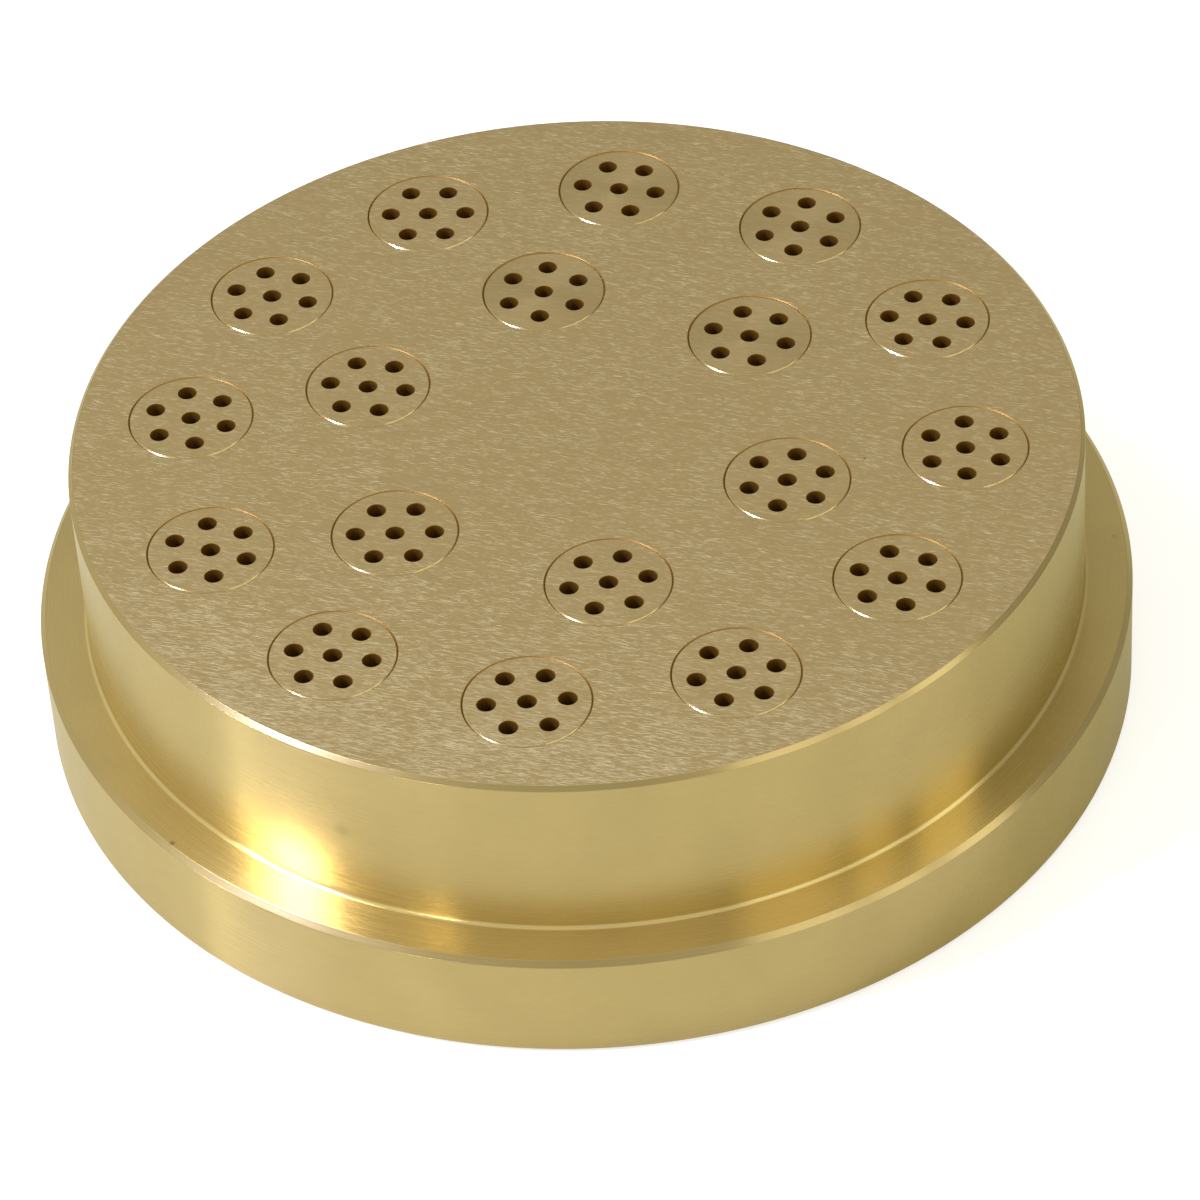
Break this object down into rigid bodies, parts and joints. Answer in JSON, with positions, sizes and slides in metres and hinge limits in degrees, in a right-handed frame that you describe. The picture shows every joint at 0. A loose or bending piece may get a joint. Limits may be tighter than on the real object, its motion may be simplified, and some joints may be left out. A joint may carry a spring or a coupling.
{
  "type": "pasta extrusion die",
  "caption": "Stepped round bronze die whose pressed-in inserts, drilled with fine holes, shape dough into spaghetti strands.",
  "frame": {"origin": "on the axis, in the plane of the back face that the dough enters", "axes": "+Z along the axis, from the back towards the front face; +X through the middle of an outer insert"},
  "size_m": [0.1142, 0.1142, 0.0316],
  "materials": {
    "turned_bronze": "satin turned sides, belt-sanded front",
    "sanded_bronze": "belt-sanded, fine straight scratches"
  },
  "bodies": {
    "root": {"die_body": "turned_bronze", "outer_insert_01": "sanded_bronze", "outer_insert_02": "sanded_bronze", "outer_insert_03": "sanded_bronze", "outer_insert_04": "sanded_bronze", "outer_insert_05": "sanded_bronze", "outer_insert_06": "sanded_bronze", "outer_insert_07": "sanded_bronze", "outer_insert_08": "sanded_bronze", "outer_insert_09": "sanded_bronze", "outer_insert_10": "sanded_bronze", "outer_insert_11": "sanded_bronze", "outer_insert_12": "sanded_bronze", "inner_insert_01": "sanded_bronze", "inner_insert_02": "sanded_bronze", "inner_insert_03": "sanded_bronze", "inner_insert_04": "sanded_bronze", "inner_insert_05": "sanded_bronze", "inner_insert_06": "sanded_bronze"}
  },
  "joints": []
}
